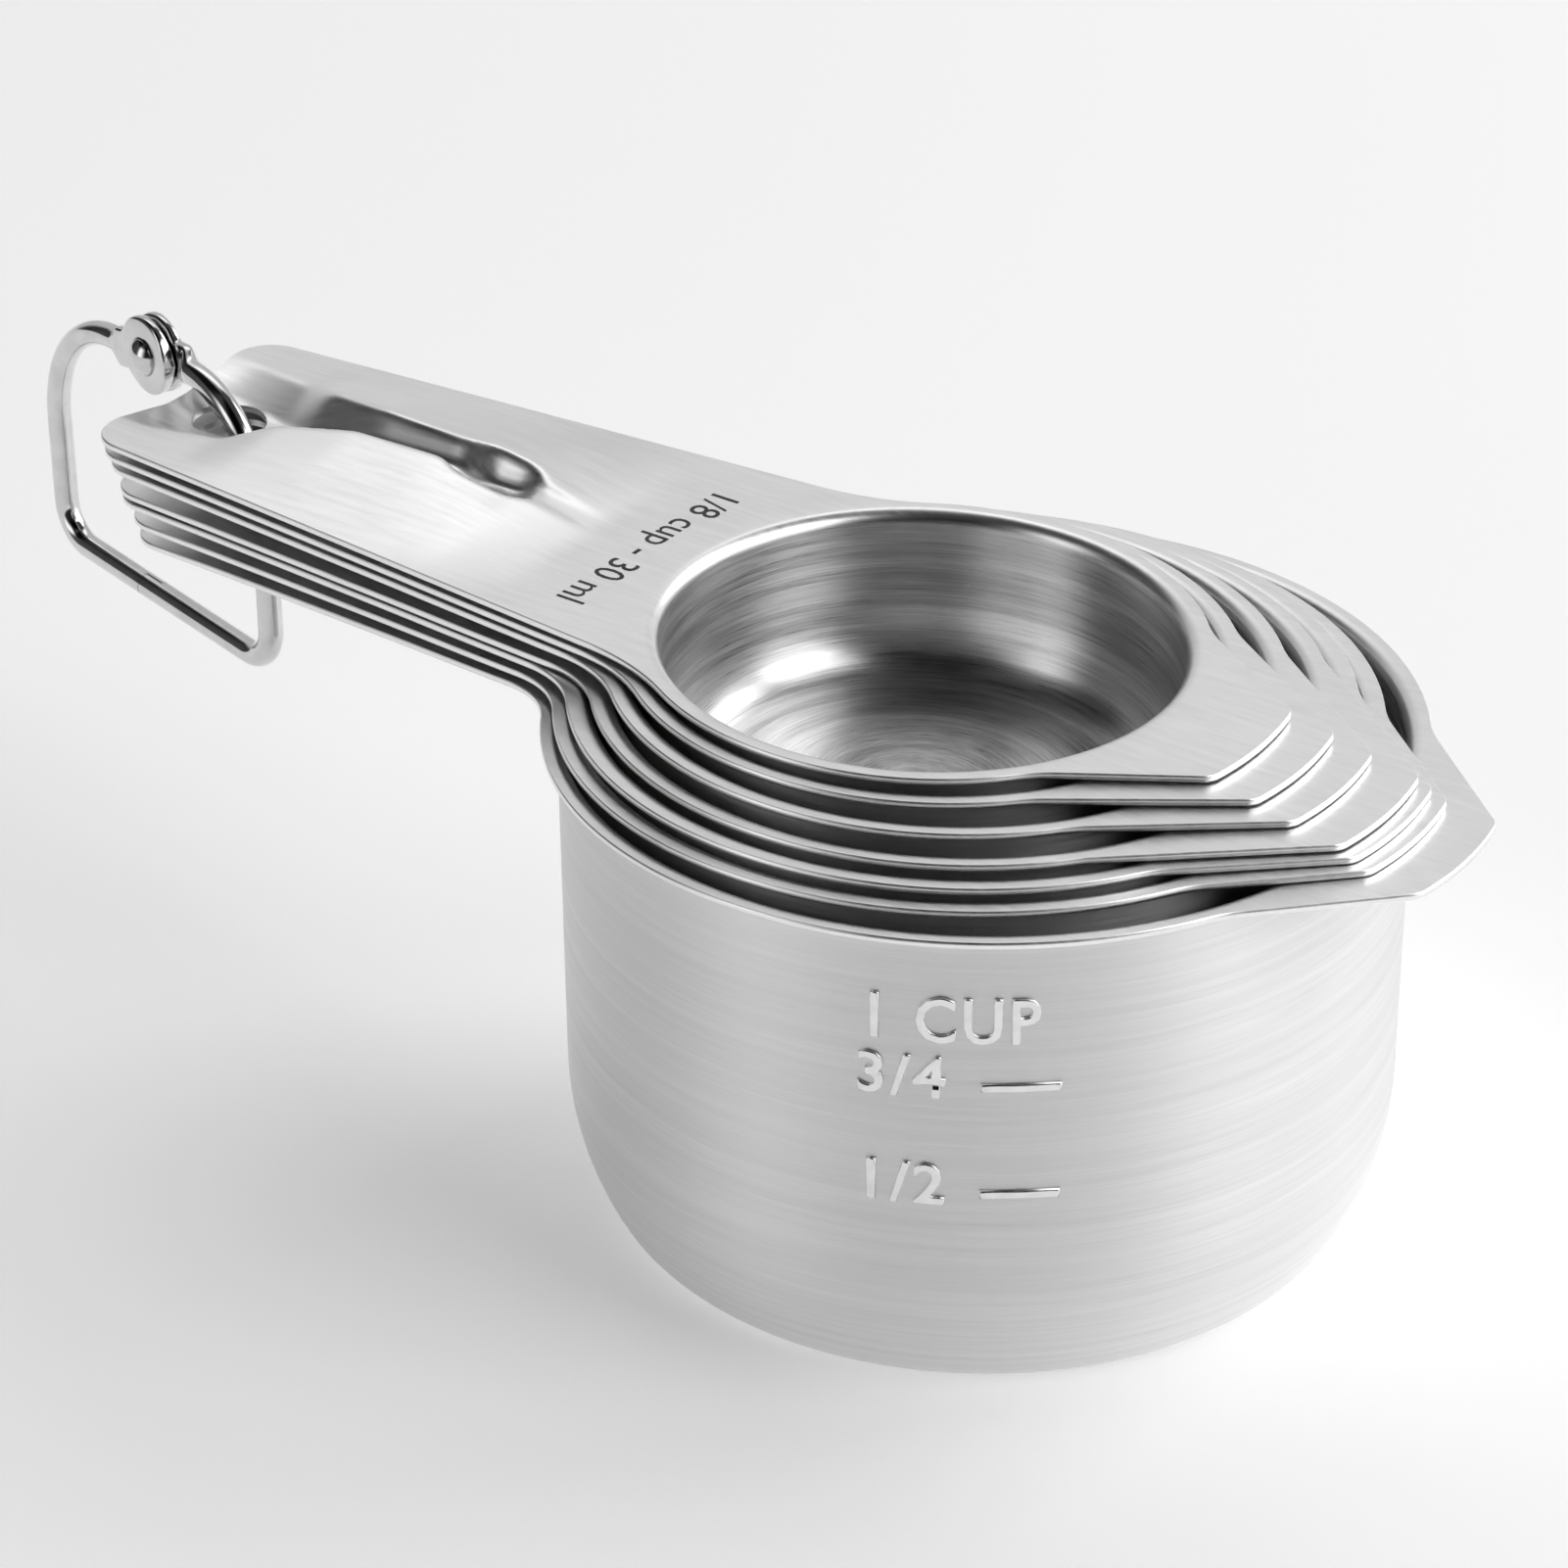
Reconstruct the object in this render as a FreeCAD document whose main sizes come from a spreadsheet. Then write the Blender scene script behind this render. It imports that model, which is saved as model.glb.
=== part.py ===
import FreeCAD, Part
import math
import os

import Sketcher

# A nested set of seven pressed steel measuring cups on one hinged wire ring.
#
# Frame: millimetres, +Z up. The origin is the centre of the largest cup's base, which stands on the
# table. +X runs towards the pouring spouts, so the handles and the ring lie towards -X.
#
# Each cup is one pressing. Its body keeps the set's own X and Y, and its local Z = 0 is the top face
# of its lip. A cup leans a little more than the cup below it, with its spout down, because the stack
# is closed at the spouts and fanned apart by the ring at the handles.

V = FreeCAD.Vector
doc = FreeCAD.newDocument("measuring_cup_set")

# ---------------------------------------------------------------- driving dimensions

CUP_FIELDS = (
    "wall_radius", "lip_radius", "bowl_x", "depth", "corner_width", "corner_height",
    "spout_x", "spout_angle", "root_round", "tip_x", "hole_x", "spout_lift", "hole_lift",
)
CUPS = {
    "one": (41.75, 43.4, 0.0, 52.7, 8.6, 16.7, 51.5, 44.0, 9.0, -97.0, -89.6, 0.0, 0.0),
    "three_quarter": (38.7, 40.6, -1.9, 44.0, 8.2, 14.5, 46.3, 43.0, 10.0, -97.6, -90.0, 0.9, 2.0),
    "two_thirds": (36.85, 38.7, -2.6, 42.0, 8.0, 14.0, 44.7, 41.0, 11.0, -99.0, -90.6, 1.8, 4.1),
    "half": (34.5, 36.2, -2.9, 37.5, 7.8, 13.0, 43.3, 40.0, 12.0, -99.2, -91.0, 2.7, 5.1),
    "third": (31.7, 33.4, -4.4, 30.5, 7.4, 11.5, 38.3, 38.0, 15.0, -100.2, -92.4, 3.6, 7.6),
    "quarter": (28.7, 30.4, -6.1, 27.0, 7.2, 11.0, 34.2, 35.0, 19.0, -101.0, -93.1, 4.5, 8.9),
    "eighth": (26.5, 28.3, -7.1, 17.5, 6.8, 9.0, 29.6, 33.0, 26.0, -101.4, -93.9, 5.4, 10.3),
}
COMMON = {
    "metal": 0.7,
    "set_height": 53.4,
    "lip_round": 1.5,
    "base_round": 6.0,
    "handle_half": 14.6,
    "handle_flare": 0.09,
    "tip_round": 4.5,
    "spout_half": 7.8,
    "spout_bow": 0.8,
    "spout_round": 1.6,
    "spout_root_round": 14.0,
    "tilt_near_x": 35.0,
    "tilt_far_x": -97.0,
    "hole_radius": 4.0,
    "hole_y": -0.3,
    "blank_low": -4.0,
    "blank_high": 9.0,
    "blank_width": 60.0,
    "ring_x": -109.6,
    "ring_y": 5.4,
    "ring_z": 43.7,
    "ring_yaw": -18.0,
    "body_arch_x": 8.9,
    "body_arch_z": 8.2,
    "body_arch_radius": 12.5,
    "gate_arch_x": 6.3,
    "gate_arch_z": 4.8,
    "gate_arch_radius": 14.6,
    "bar_drop": 9.7,
    "wire_radius": 1.35,
    "bend_radius": 4.5,
    "latch_x": -2.6,
    "latch_lap": 3.0,
    "latch_gap": 0.1,
    "rivet_x": 1.2,
    "rivet_up": 20.3,
    "ear_radius": 4.4,
    "ear_thick": 1.4,
    "ear_gap": 0.1,
    "neck_half": 1.5,
    "neck_reach": 5.5,
    "shank_radius": 1.25,
    "running_gap": 0.05,
    "head_radius": 2.2,
    "head_high": 1.2,
    "washer_radius": 2.7,
    "washer_thick": 0.6,
    "tail_radius": 2.0,
    "tail_high": 0.8,
}
# Pressed shape of every handle: station X, half width to the handle's edge, then the crest's half
# width and height and the valley's half width and height. The handle rises from its edges to two
# crests and drops between them into a channel, which opens into a dish round the ring's hole.
PRESSING = (
    (-103.0, 14.4, 9.6, 0.0, 1.5, -1.4),
    (-101.4, 14.5, 9.6, 0.0, 1.5, -1.4),
    (-97.0, 14.9, 9.2, 0.1, 3.9, -1.9),
    (-89.0, 15.7, 7.8, 0.5, 2.5, -2.2),
    (-84.0, 16.1, 4.8, 2.4, 1.2, -1.4),
    (-75.0, 16.9, 2.7, 3.6, 0.5, 0.6),
    (-64.0, 17.9, 2.2, 3.6, 0.5, 1.2),
    (-61.0, 18.2, 3.4, 3.1, 1.8, -0.2),
    (-56.5, 18.6, 3.4, 2.4, 1.8, -0.2),
    (-54.0, 18.8, 2.0, 1.8, 1.0, 1.4),
    (-46.0, 19.5, 2.0, 0.0, 1.0, 0.0),
    (56.0, 28.7, 2.0, 0.0, 1.0, 0.0),
)

LETTERS = "abcdefghijkl"
sheet = doc.addObject("Spreadsheet::Sheet", "Sizes")
size = {}
row = 1


def set_size(alias, value):
    """Put one driving dimension in the sheet, as text, under its own alias."""
    global row
    sheet.set(f"A{row}", alias)
    sheet.set(f"B{row}", repr(value))
    sheet.setAlias(f"B{row}", alias)
    size[alias] = value
    row += 1


for alias, value in COMMON.items():
    set_size(alias, value)
for cup, values in CUPS.items():
    for field, value in zip(CUP_FIELDS, values):
        set_size(f"{cup}_{field}", value)
for number, station in enumerate(PRESSING):
    set_size(f"pressing_at_{LETTERS[number]}", station[0])
doc.recompute()

METAL = size["metal"]

# ---------------------------------------------------------------- helpers


def origin_plane(body, role):
    """One of a body's own origin planes or axes, by its role."""
    return next(f for f in body.Origin.OriginFeatures if f.Role == role)


def new_sketch(body, name, role, offset=V(0, 0, 0)):
    """An empty sketch on one of the body's origin planes, moved by offset in the plane's own axes."""
    sketch = body.newObject("Sketcher::SketchObject", name)
    sketch.AttachmentSupport = [(origin_plane(body, role), "")]
    sketch.MapMode = "FlatFace"
    sketch.AttachmentOffset = FreeCAD.Placement(offset, FreeCAD.Rotation())
    return sketch


def line(a, b):
    return Part.LineSegment(V(a[0], a[1], 0), V(b[0], b[1], 0))


def arc(a, middle, b):
    """A counter-clockwise arc through three points, and the numbers of its ends nearest a and b."""
    turn = (middle[0] - a[0]) * (b[1] - middle[1]) - (middle[1] - a[1]) * (b[0] - middle[0])
    first, last = (a, b) if turn > 0 else (b, a)
    bow = Part.Arc(V(first[0], first[1], 0), V(middle[0], middle[1], 0), V(last[0], last[1], 0))
    return bow, ((1, 2) if turn > 0 else (2, 1))


def join_loop(sketch, steps):
    """Add a closed outline given as steps: ("line", end) or ("arc", middle, end), from the last end.

    Returns the geometry index of each step.
    """
    here = steps[-1][-1]
    marks = []
    for step in steps:
        there = step[-1]
        piece, ends = (line(here, there), (1, 2)) if step[0] == "line" else arc(here, step[1], there)
        marks.append((sketch.addGeometry(piece, False), ends))
        here = there
    for (index, ends), (after, after_ends) in zip(marks, marks[1:] + marks[:1]):
        sketch.addConstraint(Sketcher.Constraint("Coincident", index, ends[1], after, after_ends[0]))
    return [index for index, _ in marks]


def bind(sketch, kind, where, value, name, expression):
    """Add one dimension to a sketch and bind it to the sheet."""
    number = sketch.addConstraint(Sketcher.Constraint(kind, *where, value))
    sketch.renameConstraint(number, name)
    sketch.setExpression(f"Constraints.{name}", expression)


def circle_sketch(body, name, role, offset, centre, radius, expression):
    """A sketch that holds one circle, with its radius bound to the sheet."""
    sketch = new_sketch(body, name, role, offset)
    sketch.addGeometry(Part.Circle(V(centre[0], centre[1], 0), V(0, 0, 1), radius), False)
    bind(sketch, "Radius", (0,), radius, "radius", expression)
    return sketch


def pad(body, name, sketch, length, expression, reversed_way=False, middle=False):
    feature = body.newObject("PartDesign::Pad", name)
    feature.Profile = sketch
    feature.Length = length
    feature.setExpression("Length", expression)
    feature.Reversed = reversed_way
    feature.Midplane = middle
    doc.recompute()
    return feature


def cut_through(body, name, sketch):
    """Pocket a sketch right through, both ways from its plane."""
    feature = body.newObject("PartDesign::Pocket", name)
    feature.Profile = sketch
    feature.Type = 1
    feature.Midplane = True
    before = body.Shape.Volume
    doc.recompute()
    if body.Shape.Volume >= before:
        raise RuntimeError(f"{body.Label}: {name} cuts nothing")
    return feature


def round_upright_edges(body, name, targets, radius, expression):
    """Fillet the upright edges of the body that stand at the given X, Y points."""
    names = []
    for number, edge in enumerate(body.Tip.Shape.Edges, 1):
        ends = [v.Point for v in edge.Vertexes]
        if len(ends) != 2 or math.hypot(ends[0].x - ends[1].x, ends[0].y - ends[1].y) > 1e-4:
            continue
        if any(math.hypot(ends[0].x - x, ends[0].y - y) < 0.05 for x, y in targets):
            names.append(f"Edge{number}")
    if len(names) != len(targets):
        raise RuntimeError(f"{body.Label}: {name} found {len(names)} of {len(targets)} edges")
    previous = body.Tip
    feature = body.newObject("PartDesign::Fillet", name)
    feature.Base = (previous, names)
    feature.Radius = radius
    feature.setExpression("Radius", expression)
    doc.recompute()


# ---------------------------------------------------------------- one cup


def plate_outline(cup):
    """Corner points of the flat pressing on its far side (+Y): tip, root, spout root, spout end."""
    radius = size[f"{cup}_lip_radius"]
    centre = size[f"{cup}_bowl_x"]
    tip = size[f"{cup}_tip_x"]
    half = size["handle_half"]
    flare = size["handle_flare"]
    # side of the handle, y = half + flare * (x - tip), meets the lip circle
    a = 1 + flare**2
    b = -2 * centre + 2 * flare * (half - flare * tip)
    c = centre**2 + (half - flare * tip) ** 2 - radius**2
    root_x = (-b - math.sqrt(b * b - 4 * a * c)) / (2 * a)
    root = (root_x, half + flare * (root_x - tip))
    # side of the spout runs back from its end at an angle to the X axis, and meets the lip circle
    end = (size[f"{cup}_spout_x"], size["spout_half"])
    slope = math.tan(math.radians(size[f"{cup}_spout_angle"]))
    rise = end[1] + slope * end[0]
    a = 1 + slope**2
    b = -2 * centre - 2 * slope * rise
    c = centre**2 + rise**2 - radius**2
    spout_x = (-b + math.sqrt(b * b - 4 * a * c)) / (2 * a)
    spout_root = (spout_x, rise - slope * spout_x)
    return (tip, half), root, spout_root, end


def mirror(point):
    return (point[0], -point[1])


def bowl_profile(cup, inset, top):
    """Half section of the bowl as steps for join_loop: radius and height below the lip's top face.

    inset is 0 for the outer face and the metal thickness for the inner face. The corner between wall
    and base is two tangent arcs, a large one against the wall and a small one against the base.
    """
    wall = size[f"{cup}_wall_radius"]
    width = size[f"{cup}_corner_width"]
    height = size[f"{cup}_corner_height"]
    small = size["base_round"]
    floor = -(size[f"{cup}_depth"] + METAL)
    lip = size["lip_round"]
    mouth = wall - METAL + lip
    large = (width**2 + height**2 - 2 * height * small) / (2 * (width - small))
    large_centre = (wall - large, floor + height)
    small_centre = (wall - width, floor + small)
    reach = math.hypot(small_centre[0] - large_centre[0], small_centre[1] - large_centre[1])
    away = (
        (small_centre[0] - large_centre[0]) / reach,
        (small_centre[1] - large_centre[1]) / reach,
    )
    bend = math.atan2(away[1], away[0])

    def on(centre, radius, angle):
        return (centre[0] + radius * math.cos(angle), centre[1] + radius * math.sin(angle))

    lip_radius = lip - METAL + inset
    lip_centre = (mouth, -lip)
    skin = METAL - inset
    return [
        ("line", (mouth, top)),
        ("line", (mouth, -skin)),
        ("arc", on(lip_centre, lip_radius, math.radians(135)), (wall - inset, -lip)),
        ("line", (wall - inset, floor + height)),
        ("arc", on(large_centre, large - inset, bend / 2), on(large_centre, large - inset, bend)),
        (
            "arc",
            on(small_centre, small - inset, (bend - math.pi / 2) / 2),
            (small_centre[0], floor + inset),
        ),
        ("line", (0.0, floor + inset)),
        ("line", (0.0, top)),
    ]


def make_cup(cup):
    """One cup as a body: plate, channel, bowl, ring hole, then its lean and lift in the stack."""
    body = doc.addObject("PartDesign::Body", f"cup_{cup}")
    body.Label = f"cup_{cup}"
    tip, root, spout_root, end = plate_outline(cup)
    radius = size[f"{cup}_lip_radius"]
    centre = size[f"{cup}_bowl_x"]

    # blank: handle, lip and spout in one outline, thick enough to hold the pressed shape
    outline = new_sketch(body, f"{cup}_outline", "XY_Plane", V(0, 0, size["blank_low"]))
    outline.setExpression("AttachmentOffset.Base.z", "Sizes.blank_low")
    pieces = join_loop(outline, [
        ("line", tip),
        ("line", root),
        ("arc", (centre, radius), spout_root),
        ("line", end),
        ("arc", (end[0] + size["spout_bow"], 0.0), mirror(end)),
        ("line", mirror(spout_root)),
        ("arc", (centre, -radius), mirror(root)),
        ("line", mirror(tip)),
    ])
    bind(outline, "Radius", (pieces[2],), radius, "lip_far", f"Sizes.{cup}_lip_radius")
    bind(outline, "Radius", (pieces[6],), radius, "lip_near", f"Sizes.{cup}_lip_radius")
    bind(outline, "DistanceX", (-1, 1, pieces[2], 3), centre, "bowl_x", f"Sizes.{cup}_bowl_x")
    bind(outline, "DistanceX", (-1, 1, pieces[3], 2), end[0], "spout_x", f"Sizes.{cup}_spout_x")
    pad(body, f"{cup}_blank", outline, size["blank_high"], "Sizes.blank_high")
    round_upright_edges(body, f"{cup}_tip_corners", [tip, mirror(tip)], size["tip_round"],
                        "Sizes.tip_round")
    round_upright_edges(body, f"{cup}_roots", [root, mirror(root)], size[f"{cup}_root_round"],
                        f"Sizes.{cup}_root_round")
    round_upright_edges(body, f"{cup}_spout_roots", [spout_root, mirror(spout_root)],
                        size["spout_root_round"], "Sizes.spout_root_round")
    round_upright_edges(body, f"{cup}_spout_corners", [end, mirror(end)], size["spout_round"],
                        "Sizes.spout_round")

    # upper and lower faces of the sheet, one straight above the other, so that handles nest
    wide = size["blank_width"]
    over = ("over", 0.0, 2 * size["blank_high"])
    under = ("under", METAL, 2 * size["blank_low"])
    for way, drop, level in (over, under):
        sections = []
        for letter, (at, edge, crest, crest_up, valley, valley_up) in zip(LETTERS, PRESSING):
            section = new_sketch(body, f"{cup}_{way}_{letter}", "YZ_Plane", V(0, 0, at))
            section.setExpression("AttachmentOffset.Base.z", f"Sizes.pressing_at_{letter}")
            half = [(wide, 0.0), (edge, 0.0), (crest, crest_up), (valley, valley_up)]
            face = half + [(-y, z) for y, z in reversed(half)]
            points = [(y, z - drop) for y, z in face] + [(-wide, level), (wide, level)]
            join_loop(section, [("line", p) for p in points])
            sections.append(section)
        loft = body.newObject("PartDesign::SubtractiveLoft", f"{cup}_{way}")
        loft.Profile = sections[0]
        loft.Sections = sections[1:]
        loft.Ruled = True
        loft.Refine = True
        doc.recompute()

    # bowl: a turned solid, then its inside
    for way, kind, inset, top in (
        ("outside", "PartDesign::Revolution", 0.0, -METAL / 2),
        ("inside", "PartDesign::Groove", METAL, 1.0),
    ):
        section = new_sketch(body, f"{cup}_bowl_{way}", "XZ_Plane", V(centre, 0, 0))
        section.setExpression("AttachmentOffset.Base.x", f"Sizes.{cup}_bowl_x")
        pieces = join_loop(section, bowl_profile(cup, inset, top))
        wall = size[f"{cup}_wall_radius"] - inset
        bind(section, "DistanceX", (-1, 1, pieces[3], 1), wall, "wall",
             f"Sizes.{cup}_wall_radius - {inset}")
        turned = body.newObject(kind, f"{cup}_{way}")
        turned.Profile = section
        turned.ReferenceAxis = (section, ["V_Axis"])
        turned.Angle = 360.0
        doc.recompute()

    # hole for the ring
    hole = circle_sketch(body, f"{cup}_hole_circle", "XY_Plane", V(0, 0, 0),
                         (size[f"{cup}_hole_x"], size["hole_y"]), size["hole_radius"],
                         "Sizes.hole_radius")
    cut_through(body, f"{cup}_ring_hole", hole)

    # lean and lift
    near = size["tilt_near_x"]
    lean = math.asin((size[f"{cup}_hole_lift"] - size[f"{cup}_spout_lift"])
                     / (near - size["tilt_far_x"]))
    lift = size["set_height"] + size[f"{cup}_spout_lift"]
    body.Placement = FreeCAD.Placement(
        V(near - near * math.cos(lean), 0, lift + near * math.sin(lean)),
        FreeCAD.Rotation(V(0, 1, 0), math.degrees(lean)),
    )
    return body


# ---------------------------------------------------------------- ring, hinge and latch
# Ring bodies share one local frame: origin inside the ring, X along the straight bar,
# Z up and Y along the rivet, away from the ring's front face.


def place_ring_piece(body):
    body.Placement = FreeCAD.Placement(
        V(size["ring_x"], size["ring_y"], size["ring_z"]),
        FreeCAD.Rotation(V(0, 0, 1), size["ring_yaw"]),
    )
    for axis in "xyz":
        body.setExpression(f"Placement.Base.{axis}", f"Sizes.ring_{axis}")
    body.setExpression("Placement.Rotation.Angle", "Sizes.ring_yaw")


def make_ring_half(name, side, front):
    """Half of the wire: bar, bend, side and arch, a flat ear at the rivet and a half lap at the latch.

    side is 1 for the half on +X and -1 for the other. front is -1 when its ear lies on the front
    face (-Y) and 1 when it lies behind; its half of the latch lies on the other face.
    """
    body = doc.addObject("PartDesign::Body", name)
    body.Label = name
    half = "body" if side > 0 else "gate"
    wire = size["wire_radius"]
    arch_x = size[f"{half}_arch_x"]
    arch_z = size[f"{half}_arch_z"]
    arch = size[f"{half}_arch_radius"]
    bend = size["bend_radius"]
    drop = size["bar_drop"]
    edge_x = arch_x + arch
    start_x = size["latch_x"] - side * size["latch_lap"] / 2 + side * size["latch_gap"] / 2
    slant = math.sqrt(0.5)

    # centre line of the wire
    spine = new_sketch(body, f"{name}_spine", "XZ_Plane")
    bar_end = (side * (edge_x - bend), -drop)
    side_low = (side * edge_x, -drop + bend)
    side_high = (side * edge_x, arch_z)
    arch_top = (side * arch_x, arch_z + arch)
    wire_end = (size["rivet_x"] + side * size["neck_reach"], arch_z + arch)
    bend_middle = (side * (edge_x - bend + bend * slant), -drop + bend - bend * slant)
    arch_middle = (side * (arch_x + arch * slant), arch_z + arch * slant)
    spine.addGeometry(line((start_x, -drop), bar_end), False)
    spine.addGeometry(arc(bar_end, bend_middle, side_low)[0], False)
    spine.addGeometry(line(side_low, side_high), False)
    spine.addGeometry(arc(side_high, arch_middle, arch_top)[0], False)
    spine.addGeometry(line(arch_top, wire_end), False)
    profile = circle_sketch(body, f"{name}_section", "YZ_Plane", V(0, 0, start_x), (0, -drop), wire,
                            "Sizes.wire_radius")
    pipe = body.newObject("PartDesign::AdditivePipe", f"{name}_wire")
    pipe.Profile = profile
    pipe.Spine = spine
    doc.recompute()

    # flat ear: a disc round the rivet and a neck that runs into the wire
    rivet = (size["rivet_x"], size["rivet_up"])
    thick = size["ear_thick"]
    gap = size["ear_gap"]
    depth_at = -front * gap
    disc = circle_sketch(body, f"{name}_ear_circle", "XZ_Plane", V(0, 0, depth_at), rivet,
                         size["ear_radius"], "Sizes.ear_radius")
    pad(body, f"{name}_ear", disc, thick, "Sizes.ear_thick", reversed_way=front > 0)
    neck_half = size["neck_half"]
    root_x = arch_top[0]
    along = math.atan2(arch_top[1] - rivet[1], root_x - rivet[0])
    across = (-math.sin(along) * neck_half, math.cos(along) * neck_half)
    corners = [
        (rivet[0] + across[0], rivet[1] + across[1]),
        (root_x + across[0], arch_top[1] + across[1]),
        (root_x - across[0], arch_top[1] - across[1]),
        (rivet[0] - across[0], rivet[1] - across[1]),
    ]
    neck = new_sketch(body, f"{name}_neck_outline", "XZ_Plane", V(0, 0, depth_at))
    join_loop(neck, [("line", p) for p in corners])
    pad(body, f"{name}_neck", neck, thick, "Sizes.ear_thick", reversed_way=front > 0)

    # rivet hole: the gate turns on the shank, the other half is held by it
    play = size["running_gap"] if side < 0 else 0.0
    hole = circle_sketch(body, f"{name}_rivet_circle", "XZ_Plane", V(0, 0, 0), rivet,
                         size["shank_radius"] + play, f"Sizes.shank_radius + {play}")
    cut_through(body, f"{name}_rivet_hole", hole)

    # half lap: take away the other half's share of the wire at the latch
    lap = new_sketch(body, f"{name}_lap", "XZ_Plane", V(0, 0, -depth_at))
    far = size["latch_x"] + side * (size["latch_lap"] + size["latch_gap"]) / 2
    low = -drop - 2 * wire
    high = -drop + 2 * wire
    outer = start_x - side
    join_loop(lap, [("line", p) for p in [(outer, low), (far, low), (far, high), (outer, high)]])
    cut = body.newObject("PartDesign::Pocket", f"{name}_half_lap")
    cut.Profile = lap
    cut.Length = 2 * wire
    cut.Reversed = front < 0
    before = body.Shape.Volume
    doc.recompute()
    if body.Shape.Volume >= before:
        raise RuntimeError(f"{name}: the lap cuts nothing")
    place_ring_piece(body)
    return body


def make_turned(name, points):
    """A small turned piece on the rivet's axis, from its half section (radius, distance along Y)."""
    body = doc.addObject("PartDesign::Body", name)
    body.Label = name
    section = new_sketch(body, f"{name}_section", "XY_Plane",
                         V(size["rivet_x"], 0, size["rivet_up"]))
    section.setExpression("AttachmentOffset.Base.x", "Sizes.rivet_x")
    section.setExpression("AttachmentOffset.Base.z", "Sizes.rivet_up")
    join_loop(section, points)
    turned = body.newObject("PartDesign::Revolution", f"{name}_turned")
    turned.Profile = section
    turned.ReferenceAxis = (section, ["V_Axis"])
    turned.Angle = 360.0
    doc.recompute()
    place_ring_piece(body)
    return body


def dome(rim, high, base, way):
    """Middle and end of a domed arc that starts on the rim at base and meets the axis square on."""
    radius = (rim**2 + high**2) / (2 * high)
    centre = base + way * (high - radius)
    half = math.asin(rim / radius) / 2
    return (radius * math.sin(half), centre + way * radius * math.cos(half)), (0.0, base + way * high)


def make_rivet():
    """Rivet: domed head at the front, shank through both ears, upset tail behind the washer."""
    shank = size["shank_radius"]
    face = size["ear_gap"] + size["ear_thick"]
    front = -face - size["running_gap"]
    head = size["head_radius"]
    rear = face + size["washer_thick"]
    tail = size["tail_radius"]
    tail_middle, tail_end = dome(tail, size["tail_high"], rear, 1)
    head_middle, head_end = dome(head, size["head_high"], front, -1)
    return make_turned("hinge_rivet", [
        ("line", head_end),
        ("arc", head_middle, (head, front)),
        ("line", (shank, front)),
        ("line", (shank, rear)),
        ("line", (tail, rear)),
        ("arc", tail_middle, tail_end),
    ])


def make_washer():
    """Washer between the rear ear and the upset tail of the rivet."""
    face = size["ear_gap"] + size["ear_thick"]
    back = face + size["washer_thick"]
    bore = size["shank_radius"]
    rim = size["washer_radius"]
    return make_turned("rivet_washer", [
        ("line", (bore, back)),
        ("line", (bore, face)),
        ("line", (rim, face)),
        ("line", (rim, back)),
    ])


# ---------------------------------------------------------------- build, check and write

bodies = [make_cup(cup) for cup in CUPS]
bodies.append(make_ring_half("ring_body", 1, 1))
bodies.append(make_ring_half("ring_gate", -1, -1))
bodies.append(make_rivet())
bodies.append(make_washer())
doc.recompute()

for thing in doc.Objects:
    if "Invalid" in thing.State or "Error" in thing.State:
        raise RuntimeError(f"{thing.Label}: {thing.State}")

os.makedirs("parts", exist_ok=True)
for body in bodies:
    shape = body.Shape
    if shape.isNull() or not shape.isValid() or len(shape.Solids) != 1:
        raise RuntimeError(f"{body.Label}: the shape is not one valid solid")
    shape.exportStep(f"parts/{body.Label}.step")
    box = shape.BoundBox
    print(
        f"{body.Label}: volume {shape.Volume:.1f} mm3, "
        f"X {box.XMin:.1f}..{box.XMax:.1f}, Y {box.YMin:.1f}..{box.YMax:.1f}, "
        f"Z {box.ZMin:.1f}..{box.ZMax:.1f}"
    )
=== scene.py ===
import math

import bmesh
import bpy
import numpy as np
from mathutils import Matrix, Vector, geometry


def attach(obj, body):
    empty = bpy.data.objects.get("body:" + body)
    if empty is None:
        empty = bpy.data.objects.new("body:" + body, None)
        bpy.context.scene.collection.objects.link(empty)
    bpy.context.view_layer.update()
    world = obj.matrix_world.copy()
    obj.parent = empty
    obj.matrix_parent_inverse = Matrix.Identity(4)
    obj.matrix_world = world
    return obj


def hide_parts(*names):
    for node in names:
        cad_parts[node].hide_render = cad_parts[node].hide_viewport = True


# A nested set of seven pressed steel measuring cups on one hinged wire ring.
# Sizes are in millimetres, as in the CAD source, and meshes are made in metres.

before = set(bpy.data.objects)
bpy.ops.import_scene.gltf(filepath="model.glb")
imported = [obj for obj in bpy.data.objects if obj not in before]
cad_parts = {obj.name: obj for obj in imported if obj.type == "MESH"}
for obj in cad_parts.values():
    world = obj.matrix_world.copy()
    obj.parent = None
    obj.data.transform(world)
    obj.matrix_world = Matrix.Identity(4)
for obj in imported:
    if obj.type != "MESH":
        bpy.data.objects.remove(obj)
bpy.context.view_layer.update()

MM = 0.001
SHEET = 0.7            # thickness of the pressed metal
SET_HEIGHT = 53.4      # top face of the largest cup's lip
LIP_ROUND = 1.5
BASE_ROUND = 6.0
HANDLE_HALF = 14.6
HANDLE_FLARE = 0.09
TIP_ROUND = 4.5
SPOUT_HALF = 7.8
SPOUT_BOW = 0.8
SPOUT_ROUND = 1.6
SPOUT_ROOT_ROUND = 14.0
TILT_NEAR_X = 35.0
TILT_FAR_X = -97.0
HOLE_RADIUS = 4.0
HOLE_Y = -0.3
EDGE_ROUND = 0.12      # softened corner of the cut sheet

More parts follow.
